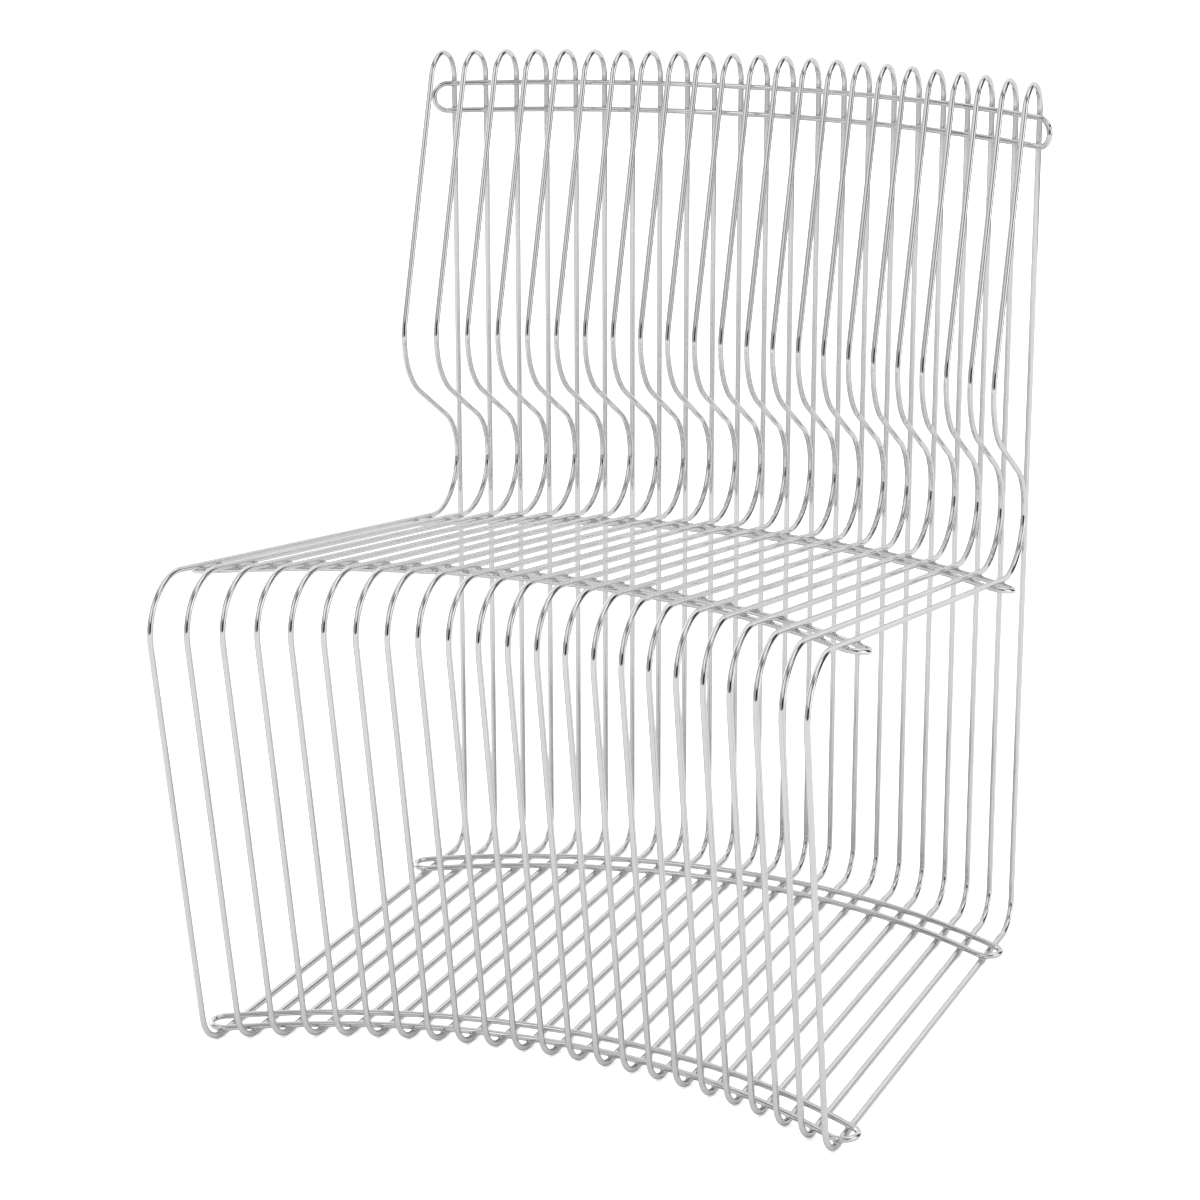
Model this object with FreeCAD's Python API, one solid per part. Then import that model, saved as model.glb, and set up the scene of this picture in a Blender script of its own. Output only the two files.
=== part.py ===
"""Low chair of parallel bent wires, chrome plated, with a curved back and seat.

Every wire of the chair is one of twenty eight closed loops, each a separate solid. Twenty three equal hoops
stand side by side, 24 mm apart. Seen from the side, a hoop runs down the upright, forward along the floor,
up the leg, back along the seat, round the waist, out to the lumbar bend, up the leaning back and over the
top bend to the upright again. From above, the hoops are stepped forward towards both sides, on an arc that is
hollow towards the sitter. Five long flat loops, here called rails, follow that arc and tie the hoops together:
one across the top of the back, two under the seat and two on the floor runs.

The frame is +Z up, the front faces -Y, X runs along the row, and the origin is on the floor under the middle of
the chair. The outline of a hoop is worked out in its own upright plane, with y = 0 on the upright's centre line
and z = 0 on the floor run's.

The stock is round wire. It is drawn with flats, a flat towards each wire that it crosses, and a bend is drawn as
short chords that touch its true arc, because so many long wires in full roundness would make a heavy model.
"""

import FreeCAD
import Part

import math
import os

from FreeCAD import Rotation, Vector

# Wire stock: lengths are in millimetres and angles in degrees throughout
wire_diameter = 5.0
flat_pairs = 3
bend_step = 18.0
arc_step = 3.0

# Row of hoops
hoop_count = 23
hoop_pitch = 24.0
row_radius = 501.5

# Outline of a hoop, to the wire's centre line
crown_height = 738.4
top_bend_radius = 23.1
back_lean = 16.6
lumbar_height = 474.7
lumbar_bend_radius = 61.2
waist_height = 378.0
waist_radius = 46.5
waist_gap = 0.3
seat_depth = 562.3
seat_front_height = 411.4
seat_bend_radius = 42.7
floor_run = 493.3
front_foot_radius = 29.1
rear_foot_radius = 25.5

# Rails: long loops, two wires wide, that follow the row
rail_width = 23.6
rail_radius = 491.5
rail_overrun = 1.0
rear_rail_setback = 75.0
front_rail_setback = 455.5
top_rail_drop = 40.4
top_rail_overrun = 2.8
weld_gap = 0.2

RIGHT = Vector(1, 0, 0)
REAR = Vector(0, 1, 0)
UP = Vector(0, 0, 1)

# A loop's section is carried round each chord's end with a mitre
MITRE = 1


def bend(centre, spoke, axis, turn, step=bend_step):
    """Corners of the chords that go round one bend, from the spoke's end and about the axis."""
    chords = max(2, math.ceil(abs(turn) / step))
    half = turn / chords / 2
    reach = 1 / math.cos(math.radians(half))
    return [
        centre + Rotation(axis, (2 * k + 1) * half).multVec(spoke) * reach
        for k in range(chords)
    ]


def corner(before, point, after, radius):
    """A bend that rounds the corner at a point between two straight runs."""
    arriving = (point - before).normalize()
    leaving = (after - point).normalize()
    turn = math.degrees(arriving.getAngle(leaving))
    axis = arriving.cross(leaving).normalize()
    start = point - arriving * radius * math.tan(math.radians(turn / 2))
    centre = start + axis.cross(arriving) * radius
    return bend(centre, start - centre, axis, turn)


def touch(point, centre, radius, side):
    """Where a straight run from a point meets a bend about a centre, on either side of it."""
    sight = centre - point
    swing = side * math.degrees(math.asin(radius / sight.Length))
    run = math.sqrt(sight.Length**2 - radius**2)
    return point + Rotation(RIGHT, swing).multVec(sight).normalize() * run


def corner_reach():
    """From the wire's centre to a corner between two of its flats."""
    return wire_diameter / 2 / math.cos(math.pi / (2 * flat_pairs))


def section(centre, along, crossing):
    """The wire's section square to its run, with a flat towards the wires that cross it."""
    across = along.cross(crossing).normalize()
    side = along.cross(across)
    corners = []
    for k in range(2 * flat_pairs):
        angle = math.pi * (2 * k + 1) / (2 * flat_pairs)
        spoke = across * math.cos(angle) + side * math.sin(angle)
        corners.append(centre + spoke * corner_reach())
    return Part.makePolygon(corners + corners[:1])


def wire_loop(points, crossing):
    """One closed wire along its centre line, and the direction of the wires that cross it."""
    start = (points[-1] + points[0]) / 2
    path = Part.makePolygon([start] + points + [start])
    profile = section(start, (points[0] - start).normalize(), crossing)
    return path.makePipeShell([profile], True, False, MITRE).Solids[0]


def waist_middle():
    """Centre of the waist bend, which stops just short of the upright behind it."""
    return Vector(0, -wire_diameter - waist_gap - waist_radius, waist_height)


def seat_run():
    """Both ends of the seat run: the corner at the front, and where it meets the waist bend."""
    front = Vector(0, -seat_depth, seat_front_height)
    return front, touch(front, waist_middle(), waist_radius, -1)


def hoop_outline():
    """Centre line of a hoop, from the upright's lower end round to its upper end."""
    rear_foot = Vector(0, 0, 0)
    front_foot = Vector(0, -floor_run, 0)
    seat_front, seat_rear = seat_run()

    top_middle = Vector(0, -top_bend_radius, crown_height - top_bend_radius)
    upright_top = top_middle + REAR * top_bend_radius
    lean = Rotation(RIGHT, -back_lean)
    back_spoke = lean.multVec(REAR * -top_bend_radius)
    back_top = top_middle + back_spoke
    down_back = lean.multVec(UP * -1)
    lumbar = back_top + down_back * ((back_top.z - lumbar_height) / -down_back.z)

    waist_top = touch(lumbar, waist_middle(), waist_radius, 1)
    waist_spoke = seat_rear - waist_middle()
    waist_turn = math.degrees(waist_spoke.getAngle(waist_top - waist_middle()))

    return (
        corner(upright_top, rear_foot, front_foot, rear_foot_radius)
        + corner(rear_foot, front_foot, seat_front, front_foot_radius)
        + corner(front_foot, seat_front, seat_rear, seat_bend_radius)
        + bend(waist_middle(), waist_spoke, RIGHT, waist_turn)
        + corner(waist_top, lumbar, back_top, lumbar_bend_radius)
        + bend(top_middle, back_spoke, RIGHT, back_lean - 180)
    )


def row_step(x):
    """How far the row has stepped forward at a distance from its middle, as a y of zero or less."""
    return math.sqrt(row_radius**2 - x**2) - row_radius


def rail_outline(setback, radius, half_width, overrun):
    """Centre line of a rail: two arcs that follow the row, joined by a round turn at each end."""
    middle = Vector(0, -setback - radius, 0)
    outer_hoop = hoop_pitch * (hoop_count - 1) / 2
    swing = math.degrees(math.asin((outer_hoop + overrun) / radius))
    points = []
    for end in (1, -1):
        beginning = Rotation(UP, end * swing)
        ending = Rotation(UP, -end * swing)
        first = beginning.multVec(REAR * radius + half_width * end)
        points += bend(middle, first, UP, -2 * end * swing, arc_step)
        spoke = ending.multVec(half_width * end)
        turn_axis = spoke.cross(ending.multVec(RIGHT * end)).normalize()
        points += bend(middle + ending.multVec(REAR * radius), spoke, turn_axis, 180)
    return points


def flat_rail(setback, height):
    """A rail that lies on the floor runs."""
    points = rail_outline(setback, rail_radius, REAR * (rail_width / 2), rail_overrun)
    return wire_loop([point + UP * height for point in points], REAR)


def seat_rail(setback):
    """A rail that lies up against the underside of the seat runs, and so follows their slope."""
    front, rear = seat_run()
    slope = (front.z - rear.z) / (rear.y - front.y)
    drop = (wire_diameter + weld_gap) / math.cos(math.atan(slope))
    points = []
    for point in rail_outline(setback, rail_radius, REAR * (rail_width / 2), rail_overrun):
        forward = rear.y + row_step(point.x) - point.y
        points.append(Vector(point.x, point.y, rear.z + slope * forward - drop))
    return wire_loop(points, front - rear)


def top_rail():
    """The rail across the back, on edge against the front of the uprights.

    The uprights' flats face along Y. Towards the ends of the row they turn a corner to the rail instead.
    """
    setback = wire_diameter / 2 + corner_reach() + weld_gap
    radius = row_radius - setback
    points = rail_outline(setback, radius, UP * (rail_width / 2), top_rail_overrun)
    rise = UP * (crown_height - top_rail_drop)
    return wire_loop([point + rise for point in points], UP)


def build():
    """Every node by name, in the hoops' frame."""
    nodes = {}
    hoop = wire_loop(hoop_outline(), RIGHT)
    for k in range(hoop_count):
        x = hoop_pitch * (k - (hoop_count - 1) / 2)
        placed = hoop.copy()
        placed.translate(Vector(x, row_step(x), 0))
        nodes[f"hoop_{k + 1:02d}"] = placed
    nodes["top_back_rail"] = top_rail()
    nodes["seat_rear_rail"] = seat_rail(rear_rail_setback)
    nodes["seat_front_rail"] = seat_rail(front_rail_setback)
    nodes["base_rear_rail"] = flat_rail(rear_rail_setback, wire_diameter + weld_gap)
    nodes["base_front_rail"] = flat_rail(front_rail_setback, wire_diameter + weld_gap)
    return nodes


def main():
    nodes = build()
    box = Part.makeCompound(list(nodes.values())).BoundBox
    to_origin = Vector(-box.Center.x, -box.Center.y, -box.ZMin)
    os.makedirs("parts", exist_ok=True)
    for name, solid in nodes.items():
        solid.translate(to_origin)
        solid.exportStep(f"parts/{name}.step")
    print(f"{len(nodes)} nodes, {box.XLength:.1f} x {box.YLength:.1f} x {box.ZLength:.1f} mm")


main()
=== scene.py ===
"""Looks of a low chair made of parallel bent wires, chrome plated, in a plain studio.

The chair is a row of equal closed hoops, tied together by long flat loops of wire, here called rails.
Each hoop and each rail is made round and smooth in place of its plain solid, and small weld beads sit
where they cross. The outline of a hoop is worked out in its own upright plane, with y = 0 on the
upright's centre line and z = 0 on the floor run's, and is then moved to where the solid is.
"""

import math
from collections import namedtuple

import bpy
from bpy.props import FloatProperty, FloatVectorProperty, IntProperty, PointerProperty
from mathutils import Matrix, Vector


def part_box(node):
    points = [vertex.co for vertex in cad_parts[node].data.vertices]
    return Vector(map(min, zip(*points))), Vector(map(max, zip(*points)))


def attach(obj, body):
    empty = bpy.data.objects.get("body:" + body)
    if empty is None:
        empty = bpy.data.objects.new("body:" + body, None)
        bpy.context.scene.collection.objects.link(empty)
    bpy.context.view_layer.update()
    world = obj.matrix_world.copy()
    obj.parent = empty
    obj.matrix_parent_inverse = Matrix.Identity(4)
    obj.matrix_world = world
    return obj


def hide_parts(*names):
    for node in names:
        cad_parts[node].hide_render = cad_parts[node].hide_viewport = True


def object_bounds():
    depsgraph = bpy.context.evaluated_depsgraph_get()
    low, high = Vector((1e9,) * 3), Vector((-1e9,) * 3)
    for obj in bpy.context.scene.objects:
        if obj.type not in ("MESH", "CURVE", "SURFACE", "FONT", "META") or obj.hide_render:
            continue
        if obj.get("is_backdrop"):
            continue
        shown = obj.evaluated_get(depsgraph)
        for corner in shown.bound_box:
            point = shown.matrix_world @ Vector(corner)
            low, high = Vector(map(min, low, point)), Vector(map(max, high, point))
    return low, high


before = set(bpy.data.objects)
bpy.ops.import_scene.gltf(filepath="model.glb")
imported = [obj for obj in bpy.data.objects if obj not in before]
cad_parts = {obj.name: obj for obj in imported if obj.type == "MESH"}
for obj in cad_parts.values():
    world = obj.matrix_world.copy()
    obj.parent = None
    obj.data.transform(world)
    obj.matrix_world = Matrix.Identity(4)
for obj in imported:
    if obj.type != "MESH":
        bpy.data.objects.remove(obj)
cad_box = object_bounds()

bl_info = {
    "name": "Wire Chair",
    "version": (1, 0, 0),
    "blender": (4, 5, 0),
    "location": "View3D > Sidebar > Wire Chair",
    "description": "Adds a chrome wire chair, piece by piece, and a studio to show it in",
    "category": "Add Mesh",
}

BODY = "root"
HOOP_NODES = sorted(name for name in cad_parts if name.startswith("hoop_"))
MIDDLE_HOOP = HOOP_NODES[len(HOOP_NODES) // 2]

RIGHT = Vector((1, 0, 0))
REAR = Vector((0, 1, 0))
UP = Vector((0, 0, 1))
HALF_TURN_DEGREES = 180
MILLIMETRES_IN_METRE = 1000

# Points of a wire that are nearer than this are one point
MERGE_GAP = 1e-5
FEWEST_BEND_STEPS = 2

# A bend of a wire: where it starts, and the centre, axis and angle that it turns through
Bend = namedtuple("Bend", "start centre axis angle")

# A cloudy pattern: how many of its clouds fit in a metre, and how many finer layers lie over them
Pattern = namedtuple("Pattern", "scale detail")
CLOUDS = Pattern(14, 3)
SMEARS = Pattern(75, 4)
RIPPLES = Pattern(420, 1)
RUB_MARKS = Pattern(1900, 2)
PAPER_CLOUDS = Pattern(1.5, 2)
PAPER_TOOTH = Pattern(900, 2)

# Which values of a pattern count, from none of its effect to all of it
CLOUD_RANGE = (0.3, 0.7)
SMEAR_RANGE = (0.45, 0.75)
MARK_RANGE = (0.35, 0.65)
# What the effects come to: tones multiply a colour, and marks multiply the dulling of a smear
PLATING_TONES = (0.965, 1.03)
PAPER_TONES = (0.985, 1)
MARK_DULLING = (0.4, 1)
# Heights above the floor between which the scuffs under the wires fade out
SCUFF_FADE = (0, 0.0022)
RIPPLE_HEIGHT = 0.0001

PAPER_ROUGHNESS = 0.9
PAPER_GLOSS = 0.1
TOOTH_STRENGTH = 0.1
TOOTH_HEIGHT = 0.0002
WHITE = (1, 1, 1, 1)

# The floor of the camera lies this far under the floor of the chrome, so that the two stay apart
FLOOR_DROP = 1e-5
FLOOR_SIDES = 96
# The camera sees this many times as far as the floor's edge
CAMERA_REACH = 2
SENSOR_MILLIMETRES = 36

# A soft edged patch of the studio's surroundings, with its place and size in degrees as the chair sees it.
# Azimuth is counted from straight in front towards the sitter's left, and elevation from the horizon.
# A later card lies over the earlier ones. They stand where the chrome has to show light or shade.
Card = namedtuple("Card", "name azimuth elevation half_width half_height softness brightness")
SURROUNDINGS = 0.70
CARDS = [
    Card("rear and left wall", -147, 25, 62, 37, 16, 1.02),
    Card("front upper wall", -20, 66, 55, 11, 12, 0.34),
    Card("left window", -112, 8, 27, 23, 12, 1.48),
    Card("left gap", -70, 45, 15, 24, 12, 0.38),
    Card("left dark", -71, 25, 9, 8, 8, 0.06),
    Card("front wall", -20, 36, 38, 17, 10, 0.80),
    Card("key light", -20, 42, 9, 13, 8, 1.48),
    Card("key light low", -2, 27, 20, 8, 8, 1.06),
    Card("camera side", 36, 40, 16, 21, 10, 0.46),
    Card("ceiling light", 100, 61, 45, 13, 10, 1.34),
    Card("gap right high", 62, 46, 17, 10, 8, 0.03),
    Card("gap right", 97, 36, 16, 5, 6, 0.15),
    Card("window", 92, 12, 20, 18, 8, 1.40),
    Card("rear gap", 133, 12, 18, 24, 8, 0.02),
    Card("rear gap top", 147, 43, 8, 12, 8, 0.30),
    Card("low front", -45, 5, 36, 14, 8, 0.44),
    Card("low camera side", 26, 3.5, 28, 11, 7, 0.01),
    Card("camera side dark", 46, 20, 11, 6, 6, 0.07),
]


def middle_x(name):
    low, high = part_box(name)
    return (low.x + high.x) / 2


def measured_row_radius():
    """Radius of the arc that the uprights stand on, from the solids of the middle hoop and an outer one."""
    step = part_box(MIDDLE_HOOP)[1].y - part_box(HOOP_NODES[-1])[1].y
    return (HOOP_PLACES[-1] ** 2 + step**2) / (2 * step)


HOOP_PLACES = [middle_x(name) for name in HOOP_NODES]
ROW_RADIUS = measured_row_radius()


# Settings


def length_property(name, description, millimetres):
    """A size that shows in the scene's own units."""
    return FloatProperty(
        name=name,
        description=description,
        default=millimetres / MILLIMETRES_IN_METRE,
        min=0,
        unit="LENGTH",
        precision=4,
    )


def angle_property(name, description, degrees):
    return FloatProperty(name=name, description=description, default=math.radians(degrees), subtype="ANGLE")


def count_property(name, description, default, fewest):
    return IntProperty(name=name, description=description, default=default, min=fewest)


def colour_property(name, description, *default):
    return FloatVectorProperty(
        name=name, description=description, default=default, size=3, min=0, max=1, subtype="COLOR"
    )


def share_property(name, description, default):
    return FloatProperty(name=name, description=description, default=default, min=0, max=1, subtype="FACTOR")


def brightness_property(name, description, default):
    return FloatProperty(name=name, description=description, default=default, min=0)


class HoopSettings(bpy.types.PropertyGroup):
    """Sizes of a hoop's outline, to the wire's centre line."""

    wire_diameter: length_property("Wire", "Diameter of the round wire", 5.0)
    crown_height: length_property("Crown height", "Top of the top bend above the floor run", 738.4)
    top_bend_radius: length_property("Top bend", "Radius of the bend over the top", 23.1)
    back_lean: angle_property("Back lean", "Lean of the back wire from upright", 16.6)
    lumbar_height: length_property("Lumbar height", "Corner of the lumbar bend above the floor run", 474.7)
    lumbar_bend_radius: length_property("Lumbar bend", "Radius of the lumbar bend", 61.2)
    waist_height: length_property("Waist height", "Centre of the waist bend above the floor run", 378.0)
    waist_radius: length_property("Waist bend", "Radius of the waist bend", 46.5)
    waist_gap: length_property("Waist gap", "Gap between the waist bend and the upright", 0.3)
    seat_depth: length_property("Seat depth", "Front corner of the seat run before the upright", 562.3)
    seat_front_height: length_property("Seat height", "Front corner of the seat above the floor run", 411.4)
    seat_bend_radius: length_property("Seat bend", "Radius of the bend at the seat's front", 42.7)
    floor_run: length_property("Floor run", "Front corner of the floor run before the upright", 493.3)
    front_foot_radius: length_property("Front foot", "Radius of the bend at the front foot", 29.1)
    rear_foot_radius: length_property("Rear foot", "Radius of the bend at the rear foot", 25.5)
    sides: count_property("Sides", "Faces around the wire", 32, 8)
    bend_step: angle_property("Bend step", "Turn of each short length in a bend", 4.0)


class RailSettings(bpy.types.PropertyGroup):
    """Sizes of the rails, to the wire's centre line."""

    width: length_property("Width", "Distance between the two wires of a rail", 23.6)
    radius: length_property("Radius", "Radius of a rail's middle, seen from above", 491.5)
    overrun: length_property("Overrun", "Start of a rail's end turn past the last hoop", 1.0)
    rear_setback: length_property("Rear setback", "Rear rail's middle before the upright", 75.0)
    front_setback: length_property("Front setback", "Front rail's middle before the upright", 455.5)
    top_drop: length_property("Top drop", "Top rail's middle below the crown", 40.4)
    top_overrun: length_property("Top overrun", "Start of the top rail's end turn past the last hoop", 2.8)
    arc_step: angle_property("Arc step", "Turn of each short length along the row", 1.5)


class WeldSettings(bpy.types.PropertyGroup):
    """Sizes of the weld beads."""

    bead_width: length_property("Bead width", "Width of a bead across the crossing", 4.6)
    bead_height: length_property("Bead height", "Height of a bead between the wires", 2.2)
    segments: count_property("Segments", "Faces around a bead", 10, 6)
    rings: count_property("Rings", "Rows of faces from pole to pole", 5, 4)


class ChromeSettings(bpy.types.PropertyGroup):
    """Colour and surface of the plating."""

    colour: colour_property("Chrome", "Colour of the plated wire", 0.740, 0.740, 0.742)
    edge_colour: colour_property("Edge", "Tint of the plating where it is seen edge on", 0.86, 0.86, 0.86)
    roughness: share_property("Roughness", "Roughness of the wire's clean plating", 0.05)
    haze: share_property("Haze", "Roughness of the wire's dull patches", 0.11)
    ripple: share_property("Ripple", "Strength of the wire's fine waviness", 0.05)
    weld_colour: colour_property("Weld chrome", "Colour of the plated welds", 0.66, 0.66, 0.66)
    weld_roughness: share_property("Weld roughness", "Roughness of a weld's clean plating", 0.11)
    weld_haze: share_property("Weld haze", "Roughness of a weld's dull patches", 0.22)
    weld_ripple: share_property("Weld ripple", "Strength of a weld's unevenness", 0.5)


class StageSettings(bpy.types.PropertyGroup):
    """The camera, the floor and the light."""

    azimuth: angle_property("Azimuth", "Camera's turn from straight in front", 22.880)
    elevation: angle_property("Elevation", "Camera's height angle", 16.899)
    roll: angle_property("Roll", "Camera's turn about its view", -0.140)
    distance: length_property("Distance", "Camera's distance from the aim", 2752.67)
    aim_forward: length_property("Aim forward", "Aim before the upright of the middle hoop", 250.82)
    aim_height: length_property("Aim height", "Aim above the floor run", 361.18)
    aim_right: length_property("Aim right", "How far the chair stands right of the view's middle", 48.21)
    aim_up: length_property("Aim up", "How far the chair stands above the view's middle", 43.23)
    lens: FloatProperty(
        name="Lens", description="Focal length in millimetres", default=99.51, min=1, unit="CAMERA"
    )
    far_floor: length_property("Far floor", "Radius of the floor that the camera sees", 60000.0)
    floor_colour: colour_property("Floor", "Colour of the floor that the camera sees", 0.88, 0.88, 0.88)
    floor_glow: brightness_property(
        "Floor glow", "Light of the seen floor itself, which thins the shadows on it", 0.35
    )
    near_floor: length_property("Near floor", "Radius of the floor that the chrome reflects", 3400.0)
    reflected_colour: colour_property(
        "Reflected floor", "Colour of the floor that the chrome reflects", 0.58, 0.58, 0.58
    )
    sun_strength: brightness_property("Soft light", "Strength of the broad light above", 2.8)
    sun_spread: angle_property("Soft light spread", "Width of the broad light above", 110)
    backdrop: brightness_property("Backdrop", "Brightness of the empty background", 1.1)


# Pieces


def deselect_all():
    if bpy.context.object and bpy.context.object.mode != "OBJECT":
        bpy.ops.object.mode_set(mode="OBJECT")
    bpy.ops.object.select_all(action="DESELECT")


def finish_piece(piece, name, material, nodes=()):
    """Places a piece on the chair's one body and hides the solids that it stands for."""
    piece.name = name
    piece.data.name = name
    piece.data.materials.clear()
    piece.data.materials.append(material)
    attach(piece, BODY)
    if nodes:
        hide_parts(*nodes)


def copy_of(piece, placement):
    """Another of the same piece, with its own mesh moved as the placement says."""
    twin = piece.copy()
    twin.data = piece.data.copy()
    twin.data.transform(placement)
    bpy.context.collection.objects.link(twin)
    return twin


# Wires


def end_of(bend):
    return bend.centre + Matrix.Rotation(bend.angle, 3, bend.axis) @ (bend.start - bend.centre)


def heading_into(bend):
    """The way that a wire heads where its bend starts."""
    return (bend.axis.cross(bend.start - bend.centre) * bend.angle).normalized()


def start_wire(place, heading, hoop):
    """Begins a wire with its round section, square to the way that it heads, in edit mode."""
    deselect_all()
    bpy.ops.mesh.primitive_circle_add(
        vertices=hoop.sides,
        radius=hoop.wire_diameter / 2,
        location=place,
        rotation=UP.rotation_difference(heading).to_euler(),
    )
    bpy.ops.object.mode_set(mode="EDIT")
    bpy.ops.mesh.select_all(action="SELECT")
    return bpy.context.object


def run_straight(offset):
    if offset.length > MERGE_GAP:
        bpy.ops.mesh.extrude_edges_move(TRANSFORM_OT_translate={"value": offset})


def run_round(bend, step):
    """Carries the wire round a bend. The spin operator counts its angle the other way round."""
    steps = max(FEWEST_BEND_STEPS, math.ceil(abs(bend.angle) / step))
    bpy.ops.mesh.spin(steps=steps, angle=-bend.angle, center=bend.centre, axis=bend.axis)


def close_wire(wire):
    """Joins a wire's end to its beginning and finishes its surface."""
    bpy.ops.mesh.select_all(action="SELECT")
    bpy.ops.mesh.remove_doubles(threshold=MERGE_GAP)
    bpy.ops.mesh.normals_make_consistent(inside=False)
    bpy.ops.object.mode_set(mode="OBJECT")
    bpy.ops.object.transform_apply(location=True, rotation=True, scale=True)
    bpy.ops.object.shade_smooth()
    return wire


# Outline of a hoop


def corner(before, point, after, radius):
    """The bend that rounds the corner at a point between two straight runs."""
    arriving = (point - before).normalized()
    leaving = (after - point).normalized()
    turn = arriving.angle(leaving)
    axis = arriving.cross(leaving).normalized()
    start = point - arriving * radius * math.tan(turn / 2)
    return Bend(start, start + axis.cross(arriving) * radius, axis, turn)


def touch(point, centre, radius, side):
    """Where a straight run from a point meets a bend about a centre, on the side that 1 or -1 gives."""
    sight = centre - point
    swing = side * math.asin(radius / sight.length)
    run = math.sqrt(sight.length**2 - radius**2)
    return point + Matrix.Rotation(swing, 3, RIGHT) @ sight.normalized() * run


def waist_middle(hoop):
    return Vector((0, -hoop.wire_diameter - hoop.waist_gap - hoop.waist_radius, hoop.waist_height))


def seat_run(hoop):
    """Both ends of the seat run: the corner at the front, and where it meets the waist bend."""
    front = Vector((0, -hoop.seat_depth, hoop.seat_front_height))
    return front, touch(front, waist_middle(hoop), hoop.waist_radius, -1)


def hoop_bends(hoop):
    """The six bends of a hoop, from the rear foot round to the top."""
    rear_foot = Vector((0, 0, 0))
    front_foot = Vector((0, -hoop.floor_run, 0))
    seat_front, seat_rear = seat_run(hoop)

    top_middle = Vector((0, -hoop.top_bend_radius, hoop.crown_height - hoop.top_bend_radius))
    upright_top = top_middle + REAR * hoop.top_bend_radius
    lean = Matrix.Rotation(-hoop.back_lean, 3, RIGHT)
    back_top = top_middle + lean @ REAR * -hoop.top_bend_radius
    down_back = lean @ -UP
    lumbar = back_top + down_back * ((back_top.z - hoop.lumbar_height) / -down_back.z)

    middle = waist_middle(hoop)
    waist_top = touch(lumbar, middle, hoop.waist_radius, 1)
    waist_turn = (seat_rear - middle).angle(waist_top - middle)

    return [
        corner(upright_top, rear_foot, front_foot, hoop.rear_foot_radius),
        corner(rear_foot, front_foot, seat_front, hoop.front_foot_radius),
        corner(front_foot, seat_front, seat_rear, hoop.seat_bend_radius),
        Bend(seat_rear, middle, RIGHT, waist_turn),
        corner(waist_top, lumbar, back_top, hoop.lumbar_bend_radius),
        Bend(back_top, top_middle, RIGHT, hoop.back_lean - math.pi),
    ]


def bend_hoop(hoop):
    """A hoop's wire, from half way up the upright round to where it began."""
    bends = hoop_bends(hoop)
    first = (end_of(bends[-1]) + bends[0].start) / 2
    wire = start_wire(first, (bends[0].start - first).normalized(), hoop)
    place = first
    for bend in bends:
        run_straight(bend.start - place)
        run_round(bend, hoop.bend_step)
        place = end_of(bend)
    run_straight(first - place)
    return close_wire(wire)


def origin_of(hoop_name, hoop):
    """Where the foot of a hoop's upright is, from the hoop's solid."""
    low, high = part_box(hoop_name)
    half_wire = hoop.wire_diameter / 2
    return Vector((middle_x(hoop_name), high.y - half_wire, low.z + half_wire))


# Outline of a rail


def row_step(x):
    """How far the row has stepped forward at a distance from its middle, as a y of zero or less."""
    return math.sqrt(ROW_RADIUS**2 - x**2) - ROW_RADIUS


def rail_bends(setback, radius, half_width, overrun):
    """The two long arcs and two end turns of a rail, with half its width as a vector."""
    middle = REAR * (-setback - radius)
    swing = math.asin((HOOP_PLACES[-1] + overrun) / radius)
    bends = []
    for end in (1, -1):
        beginning = Matrix.Rotation(end * swing, 3, UP)
        arc_start = middle + beginning @ (REAR * radius + half_width * end)
        bends.append(Bend(arc_start, middle, UP, -2 * end * swing))
        ending = Matrix.Rotation(-end * swing, 3, UP)
        turn_middle = middle + ending @ REAR * radius
        spoke = ending @ half_width * end
        turn_axis = spoke.cross(ending @ RIGHT * end).normalized()
        bends.append(Bend(turn_middle + spoke, turn_middle, turn_axis, math.pi))
    return bends


def bend_rail(bends, rails, hoop):
    """A rail's wire: long arcs in small turns, and end turns in the steps of a hoop's bends."""
    wire = start_wire(bends[0].start, heading_into(bends[0]), hoop)
    for arc, turn in zip(bends[::2], bends[1::2]):
        run_round(arc, rails.arc_step)
        run_round(turn, hoop.bend_step)
    return close_wire(wire)


def make_rail(name, bends, lift, rails, hoop):
    """Bends a rail, moves each of its points up by what lift gives for it, and puts it in the row."""
    wire = bend_rail(bends, rails, hoop)
    for vertex in wire.data.vertices:
        vertex.co.z += lift(vertex.co)
    wire.data.transform(Matrix.Translation(origin_of(MIDDLE_HOOP, hoop)))
    wire.data.update()
    finish_piece(wire, name + "_wire", wire_chrome(), [name])


def setbacks(rails):
    """How far the two lying rails of the seat or of the base are before the upright."""
    return {"rear": rails.rear_setback, "front": rails.front_setback}


def make_lying_rails(part, lift, rails, hoop):
    """Makes the rear and the front rail of the seat or of the base."""
    for end, setback in setbacks(rails).items():
        bends = rail_bends(setback, rails.radius, REAR * (rails.width / 2), rails.overrun)
        make_rail(f"{part}_{end}_rail", bends, lift, rails, hoop)


def level(height):
    """A lift that is the same for all of a rail's points."""
    return lambda point: height


def top_rail_height(rails, hoop):
    return hoop.crown_height - rails.top_drop


def seat_slope(hoop):
    """How much the seat runs rise on their way forwards."""
    front, rear = seat_run(hoop)
    return (front.z - rear.z) / (rear.y - front.y)


def under_seat(hoop):
    """The lift that lays a rail against the underside of the seat runs."""
    rear = seat_run(hoop)[1]
    slope = seat_slope(hoop)
    drop = hoop.wire_diameter / 2 * (1 + math.sqrt(1 + slope**2))
    return lambda point: rear.z + slope * (rear.y + row_step(point.x) - point.y) - drop


# Welds


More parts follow.
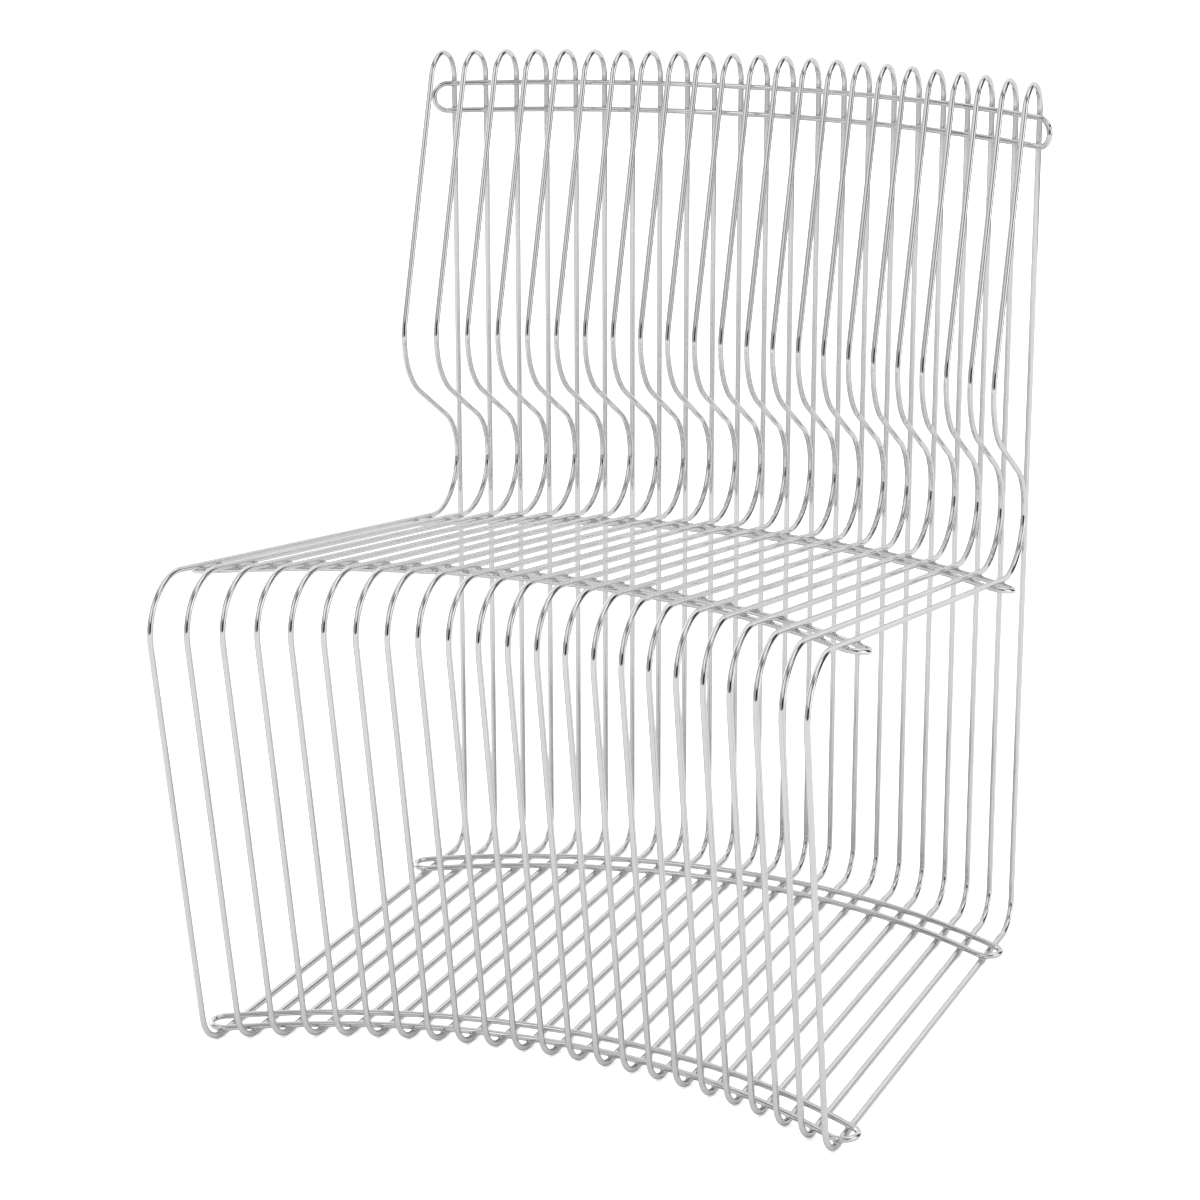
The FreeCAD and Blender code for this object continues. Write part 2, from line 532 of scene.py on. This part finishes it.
def lying_crossings(setback, rails, lift, out):
    """The two wires of a lying rail at each hoop, each with the way out from the hoop to it."""
    middle = -setback - rails.radius
    for x in HOOP_PLACES:
        for radius in (rails.radius - rails.width / 2, rails.radius + rails.width / 2):
            point = Vector((x, middle + math.sqrt(radius**2 - x**2), 0))
            yield point + UP * lift(point), out


def upright_crossings(rails, hoop):
    """The two wires of the top rail at each hoop, each with the way out from the upright to it."""
    for x in HOOP_PLACES:
        out = Vector((-x, -ROW_RADIUS - row_step(x), 0)).normalized()
        upright = Vector((x, row_step(x), top_rail_height(rails, hoop)))
        for side in (1, -1):
            yield upright + out * hoop.wire_diameter + UP * (side * rails.width / 2), out


def bead_pattern(welds):
    """One bead about the origin, flattened along z."""
    deselect_all()
    bpy.ops.mesh.primitive_uv_sphere_add(
        segments=welds.segments, ring_count=welds.rings, radius=welds.bead_width / 2
    )
    bpy.ops.object.mode_set(mode="EDIT")
    bpy.ops.mesh.select_all(action="SELECT")
    bpy.ops.transform.resize(value=(1, 1, welds.bead_height / welds.bead_width))
    bpy.ops.object.mode_set(mode="OBJECT")
    bpy.ops.object.shade_smooth()
    return bpy.context.object


def make_beads(name, crossings, welds, hoop):
    """Sets a bead between the two wires at each crossing, as one piece."""
    pattern = bead_pattern(welds)
    origin = origin_of(MIDDLE_HOOP, hoop)
    beads = []
    for centre, out in crossings:
        turn = UP.rotation_difference(out).to_matrix().to_4x4()
        place = origin + centre - out * (hoop.wire_diameter / 2)
        beads.append(copy_of(pattern, Matrix.Translation(place) @ turn))
    bpy.data.objects.remove(pattern)
    deselect_all()
    for bead in beads:
        bead.select_set(True)
    bpy.context.view_layer.objects.active = beads[0]
    bpy.ops.object.join()
    finish_piece(bpy.context.object, name, weld_chrome())


# Nodes


def feed(tree, value, socket):
    """Gives a socket its value, which is plain or comes out of another node."""
    if hasattr(value, "is_output"):
        tree.links.new(value, socket)
    else:
        socket.default_value = value


def noise(tree, position, pattern):
    node = tree.nodes.new("ShaderNodeTexNoise")
    node.inputs["Scale"].default_value = pattern.scale
    node.inputs["Detail"].default_value = pattern.detail
    feed(tree, position, node.inputs["Vector"])
    return node.outputs["Fac"]


def calculated(tree, operation, *values):
    node = tree.nodes.new("ShaderNodeMath")
    node.operation = operation
    for value, socket in zip(values, node.inputs):
        feed(tree, value, socket)
    return node.outputs["Value"]


def spread(tree, value, start, result, course="LINEAR"):
    """A value carried from one range to another, with its ends held."""
    node = tree.nodes.new("ShaderNodeMapRange")
    node.interpolation_type = course
    feed(tree, value, node.inputs["Value"])
    for name, limit in zip(("From Min", "From Max", "To Min", "To Max"), (*start, *result)):
        feed(tree, limit, node.inputs[name])
    return node.outputs["Result"]


def shaded(tree, colour, shade):
    """A colour made lighter and darker by a value."""
    mix = tree.nodes.new("ShaderNodeMix")
    mix.data_type = "RGBA"
    mix.blend_type = "MULTIPLY"
    mix.inputs["Factor"].default_value = 1
    first, second = [socket for socket in mix.inputs if socket.enabled and socket.type == "RGBA"]
    feed(tree, colour, first)
    feed(tree, shade, second)
    return next(socket for socket in mix.outputs if socket.enabled)


def bumps(tree, pattern, strength, height):
    """A normal that follows a pattern of the given height."""
    node = tree.nodes.new("ShaderNodeBump")
    node.inputs["Distance"].default_value = height
    feed(tree, strength, node.inputs["Strength"])
    feed(tree, pattern, node.inputs["Height"])
    return node.outputs["Normal"]


def new_group(name, inputs, outputs):
    """An empty group of nodes with its named sockets, for which the kinds are given."""
    tree = bpy.data.node_groups.new(name, "ShaderNodeTree")
    for way, sockets in (("INPUT", inputs), ("OUTPUT", outputs)):
        for socket, kind in sockets.items():
            tree.interface.new_socket(socket, in_out=way, socket_type="NodeSocket" + kind)
    given = tree.nodes.new("NodeGroupInput").outputs
    result = tree.nodes.new("NodeGroupOutput").inputs
    return tree, given, result


# Chrome


def plating_group():
    """Effect that wire and welds share: cloudy tone, fine rubbing marks, ripple and scuffed undersides."""
    name = "worn_plating"
    if name in bpy.data.node_groups:
        return bpy.data.node_groups[name]
    inputs = {"Position": "Vector", "Colour": "Color", "Clean": "Float", "Hazy": "Float", "Ripple": "Float"}
    outputs = {"Colour": "Color", "Roughness": "Float", "Normal": "Vector"}
    tree, given, result = new_group(name, inputs, outputs)
    position = given["Position"]

    tones = spread(tree, noise(tree, position, CLOUDS), CLOUD_RANGE, PLATING_TONES)
    feed(tree, shaded(tree, given["Colour"], tones), result["Colour"])

    smears = spread(tree, noise(tree, position, SMEARS), SMEAR_RANGE, (0, 1))
    marks = spread(tree, noise(tree, position, RUB_MARKS), MARK_RANGE, MARK_DULLING)
    height = tree.nodes.new("ShaderNodeSeparateXYZ")
    feed(tree, position, height.inputs["Vector"])
    scuffs = spread(tree, height.outputs["Z"], SCUFF_FADE, (1, 0))
    worn = calculated(tree, "MAXIMUM", calculated(tree, "MULTIPLY", smears, marks), scuffs)
    feed(tree, spread(tree, worn, (0, 1), (given["Clean"], given["Hazy"])), result["Roughness"])

    ripples = noise(tree, position, RIPPLES)
    feed(tree, bumps(tree, ripples, given["Ripple"], RIPPLE_HEIGHT), result["Normal"])
    return tree


def chrome(name, colour, edge, clean, hazy, ripple):
    """A plated metal: a plain mirror whose colour, roughness and normal come from the worn plating."""
    if name in bpy.data.materials:
        return bpy.data.materials[name]
    material = bpy.data.materials.new(name)
    material.use_nodes = True
    tree = material.node_tree
    shader = tree.nodes["Principled BSDF"]
    shader.inputs["Metallic"].default_value = 1
    shader.inputs["Specular Tint"].default_value = (*edge, 1)
    place = tree.nodes.new("ShaderNodeTexCoord")
    plating = tree.nodes.new("ShaderNodeGroup")
    plating.node_tree = plating_group()
    feed(tree, place.outputs["Object"], plating.inputs["Position"])
    plating.inputs["Colour"].default_value = (*colour, 1)
    plating.inputs["Clean"].default_value = clean
    plating.inputs["Hazy"].default_value = hazy
    plating.inputs["Ripple"].default_value = ripple
    feed(tree, plating.outputs["Colour"], shader.inputs["Base Color"])
    feed(tree, plating.outputs["Roughness"], shader.inputs["Roughness"])
    feed(tree, plating.outputs["Normal"], shader.inputs["Normal"])
    return material


def wire_chrome():
    look = bpy.context.scene.wire_chair_chrome
    return chrome("plated_wire", look.colour, look.edge_colour, look.roughness, look.haze, look.ripple)


def weld_chrome():
    look = bpy.context.scene.wire_chair_chrome
    surface = (look.weld_roughness, look.weld_haze, look.weld_ripple)
    return chrome("plated_weld", look.weld_colour, look.edge_colour, *surface)


# Studio


def floor_paper(name, colour, glow):
    """Matt pale paper with a faint cloudiness and a fine tooth, which may glow a little of itself."""
    material = bpy.data.materials.new(name)
    material.use_nodes = True
    tree = material.node_tree
    shader = tree.nodes["Principled BSDF"]
    shader.inputs["Roughness"].default_value = PAPER_ROUGHNESS
    shader.inputs["Specular IOR Level"].default_value = PAPER_GLOSS
    shader.inputs["Emission Color"].default_value = WHITE
    shader.inputs["Emission Strength"].default_value = glow
    position = tree.nodes.new("ShaderNodeTexCoord").outputs["Object"]
    tones = spread(tree, noise(tree, position, PAPER_CLOUDS), CLOUD_RANGE, PAPER_TONES)
    feed(tree, shaded(tree, (*colour, 1), tones), shader.inputs["Base Color"])
    tooth = noise(tree, position, PAPER_TOOTH)
    feed(tree, bumps(tree, tooth, TOOTH_STRENGTH, TOOTH_HEIGHT), shader.inputs["Normal"])
    return material


def add_floor(name, radius, height, paper):
    deselect_all()
    bpy.ops.mesh.primitive_circle_add(
        vertices=FLOOR_SIDES, radius=radius, fill_type="NGON", location=UP * height
    )
    floor = bpy.context.object
    floor.name = name
    floor.data.materials.append(paper)
    floor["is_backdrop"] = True
    return floor


def add_floors(stage):
    """Adds the floor that the camera sees, and over it one that only the chrome reflects."""
    paper = floor_paper("floor_paper", stage.floor_colour, stage.floor_glow)
    seen = add_floor("studio_floor", stage.far_floor, -FLOOR_DROP, paper)
    seen.visible_glossy = False
    paper = floor_paper("reflected_floor_paper", stage.reflected_colour, 0)
    reflected = add_floor("studio_reflected_floor", stage.near_floor, 0, paper)
    reflected.visible_camera = False
    reflected.visible_diffuse = False
    reflected.visible_shadow = False


def card_group():
    """One soft edged patch of light or shade over whatever is behind it."""
    inputs = ["ray_azimuth", "ray_elevation", *Card._fields[1:], "behind"]
    tree, given, result = new_group("studio_card", dict.fromkeys(inputs, "Float"), {"light": "Float"})
    half_soft = calculated(tree, "MULTIPLY", given["softness"], 0.5)
    covers = []
    for ray, middle, half in (
        ("ray_azimuth", "azimuth", "half_width"),
        ("ray_elevation", "elevation", "half_height"),
    ):
        turn = calculated(tree, "SUBTRACT", given[ray], given[middle])
        turn = calculated(tree, "WRAP", turn, HALF_TURN_DEGREES, -HALF_TURN_DEGREES)
        inner = calculated(tree, "SUBTRACT", given[half], half_soft)
        outer = calculated(tree, "ADD", given[half], half_soft)
        away = calculated(tree, "ABSOLUTE", turn)
        covers.append(spread(tree, away, (inner, outer), (1, 0), "SMOOTHSTEP"))
    cover = calculated(tree, "MULTIPLY", *covers)
    change = calculated(tree, "SUBTRACT", given["brightness"], given["behind"])
    feed(tree, calculated(tree, "MULTIPLY_ADD", cover, change, given["behind"]), result["light"])
    return tree


def light_surroundings(stage):
    """The studio all round: soft cards that the chrome reflects, and a plain backdrop for the camera."""
    world = bpy.data.worlds.new("studio")
    bpy.context.scene.world = world
    world.use_nodes = True
    tree = world.node_tree
    ray = tree.nodes.new("ShaderNodeSeparateXYZ")
    feed(tree, tree.nodes.new("ShaderNodeTexCoord").outputs["Generated"], ray.inputs["Vector"])
    forward = calculated(tree, "MULTIPLY", ray.outputs["Y"], -1)
    azimuth = calculated(tree, "DEGREES", calculated(tree, "ARCTAN2", ray.outputs["X"], forward))
    elevation = calculated(tree, "DEGREES", calculated(tree, "ARCSINE", ray.outputs["Z"]))

    group = card_group()
    light = SURROUNDINGS
    for card in CARDS:
        node = tree.nodes.new("ShaderNodeGroup")
        node.node_tree = group
        node.label = card.name
        feed(tree, azimuth, node.inputs["ray_azimuth"])
        feed(tree, elevation, node.inputs["ray_elevation"])
        feed(tree, light, node.inputs["behind"])
        for field in Card._fields[1:]:
            node.inputs[field].default_value = getattr(card, field)
        light = node.outputs["light"]

    sight = tree.nodes.new("ShaderNodeLightPath").outputs["Is Camera Ray"]
    shown = tree.nodes.new("ShaderNodeMix")
    feed(tree, sight, shown.inputs["Factor"])
    feed(tree, light, shown.inputs["A"])
    shown.inputs["B"].default_value = stage.backdrop
    background = tree.nodes["Background"]
    background.inputs["Color"].default_value = WHITE
    feed(tree, shown.outputs["Result"], background.inputs["Strength"])


def add_soft_light(stage):
    """A broad light high over the chair, which lifts the floor and leaves no spot in the chrome."""
    data = bpy.data.lights.new("soft_light", "SUN")
    data.energy = stage.sun_strength
    data.angle = stage.sun_spread
    light = bpy.data.objects.new("soft_light", data)
    light.visible_glossy = False
    bpy.context.scene.collection.objects.link(light)


def aim_camera(stage, hoop):
    """Stands the camera where the chair is seen as in the photograph."""
    around = Matrix.Rotation(stage.azimuth, 3, UP)
    across = around @ RIGHT
    back = Matrix.Rotation(-stage.elevation, 3, across) @ (around @ -REAR)
    turned = Matrix.Rotation(stage.roll, 3, back)
    right = turned @ across
    up = turned @ back.cross(across)
    aim = origin_of(MIDDLE_HOOP, hoop) + Vector((0, -stage.aim_forward, stage.aim_height))
    place = aim - right * stage.aim_right - up * stage.aim_up + back * stage.distance

    data = bpy.data.cameras.new("studio_camera")
    data.lens = stage.lens
    data.sensor_width = SENSOR_MILLIMETRES
    data.clip_end = stage.far_floor * CAMERA_REACH
    camera = bpy.data.objects.new("studio_camera", data)
    bpy.context.scene.collection.objects.link(camera)
    camera.matrix_world = Matrix.Translation(place) @ Matrix((right, up, back)).transposed().to_4x4()
    bpy.context.scene.camera = camera


# Operators


class WIRECHAIR_OT_hoops(bpy.types.Operator):
    """Bends one hoop and sets a copy of it in place of each hoop's solid"""

    bl_idname = "wirechair.hoops"
    bl_label = "Add Hoops"

    def execute(self, context):
        hoop = context.scene.wire_chair_hoop
        pattern = bend_hoop(hoop)
        for name in HOOP_NODES:
            wire = copy_of(pattern, Matrix.Translation(origin_of(name, hoop)))
            finish_piece(wire, name + "_wire", wire_chrome(), [name])
        bpy.data.objects.remove(pattern)
        return {"FINISHED"}


class WIRECHAIR_OT_top_rail(bpy.types.Operator):
    """Adds the rail across the back, on edge against the front of the uprights"""

    bl_idname = "wirechair.top_rail"
    bl_label = "Add Top Rail"

    def execute(self, context):
        hoop = context.scene.wire_chair_hoop
        rails = context.scene.wire_chair_rails
        setback = hoop.wire_diameter
        bends = rail_bends(setback, ROW_RADIUS - setback, UP * (rails.width / 2), rails.top_overrun)
        make_rail("top_back_rail", bends, level(top_rail_height(rails, hoop)), rails, hoop)
        return {"FINISHED"}


class WIRECHAIR_OT_seat_rails(bpy.types.Operator):
    """Adds the two rails that lie up against the underside of the seat"""

    bl_idname = "wirechair.seat_rails"
    bl_label = "Add Seat Rails"

    def execute(self, context):
        hoop = context.scene.wire_chair_hoop
        make_lying_rails("seat", under_seat(hoop), context.scene.wire_chair_rails, hoop)
        return {"FINISHED"}


class WIRECHAIR_OT_base_rails(bpy.types.Operator):
    """Adds the two rails that lie on the floor runs"""

    bl_idname = "wirechair.base_rails"
    bl_label = "Add Base Rails"

    def execute(self, context):
        hoop = context.scene.wire_chair_hoop
        make_lying_rails("base", level(hoop.wire_diameter), context.scene.wire_chair_rails, hoop)
        return {"FINISHED"}


class WIRECHAIR_OT_welds(bpy.types.Operator):
    """Adds the weld beads where the rails cross the hoops"""

    bl_idname = "wirechair.welds"
    bl_label = "Add Welds"

    def execute(self, context):
        hoop = context.scene.wire_chair_hoop
        rails = context.scene.wire_chair_rails
        welds = context.scene.wire_chair_welds
        seat_down = Vector((0, -seat_slope(hoop), -1)).normalized()
        for end, setback in setbacks(rails).items():
            crossings = lying_crossings(setback, rails, under_seat(hoop), seat_down)
            make_beads(f"seat_{end}_rail_welds", crossings, welds, hoop)
            crossings = lying_crossings(setback, rails, level(hoop.wire_diameter), UP)
            make_beads(f"base_{end}_rail_welds", crossings, welds, hoop)
        make_beads("top_back_rail_welds", upright_crossings(rails, hoop), welds, hoop)
        return {"FINISHED"}


class WIRECHAIR_OT_stage(bpy.types.Operator):
    """Adds the floor, the light and the camera"""

    bl_idname = "wirechair.stage"
    bl_label = "Add Studio"

    def execute(self, context):
        stage = context.scene.wire_chair_stage
        add_floors(stage)
        light_surroundings(stage)
        add_soft_light(stage)
        aim_camera(stage, context.scene.wire_chair_hoop)
        context.scene.view_settings.view_transform = "Standard"
        return {"FINISHED"}


class WIRECHAIR_PT_panel(bpy.types.Panel):
    """Lists the pieces and their settings"""

    bl_idname = "WIRECHAIR_PT_panel"
    bl_label = "Wire Chair"
    bl_space_type = "VIEW_3D"
    bl_region_type = "UI"
    bl_category = "Wire Chair"

    def draw(self, context):
        layout = self.layout
        for operator in OPERATORS:
            layout.operator(operator.bl_idname)
        for setting, group in SETTINGS.items():
            values = getattr(context.scene, setting)
            for value in group.__annotations__:
                layout.prop(values, value)


SETTINGS = {
    "wire_chair_hoop": HoopSettings,
    "wire_chair_rails": RailSettings,
    "wire_chair_welds": WeldSettings,
    "wire_chair_chrome": ChromeSettings,
    "wire_chair_stage": StageSettings,
}
OPERATORS = [
    WIRECHAIR_OT_hoops,
    WIRECHAIR_OT_top_rail,
    WIRECHAIR_OT_seat_rails,
    WIRECHAIR_OT_base_rails,
    WIRECHAIR_OT_welds,
    WIRECHAIR_OT_stage,
]


def register():
    for group in SETTINGS.values():
        bpy.utils.register_class(group)
    for operator in OPERATORS:
        bpy.utils.register_class(operator)
    bpy.utils.register_class(WIRECHAIR_PT_panel)
    for setting, group in SETTINGS.items():
        setattr(bpy.types.Scene, setting, PointerProperty(type=group))


def unregister():
    for setting in SETTINGS:
        delattr(bpy.types.Scene, setting)
    bpy.utils.unregister_class(WIRECHAIR_PT_panel)
    for operator in reversed(OPERATORS):
        bpy.utils.unregister_class(operator)
    for group in SETTINGS.values():
        bpy.utils.unregister_class(group)


def main():
    register()
    bpy.ops.wirechair.hoops()
    bpy.ops.wirechair.top_rail()
    bpy.ops.wirechair.seat_rails()
    bpy.ops.wirechair.base_rails()
    bpy.ops.wirechair.welds()
    bpy.ops.wirechair.stage()
    boxes = {"cad": cad_box, "visual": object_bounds()}
    plain = {name: [list(corner_point) for corner_point in box] for name, box in boxes.items()}


if __name__ == "__main__":
    main()
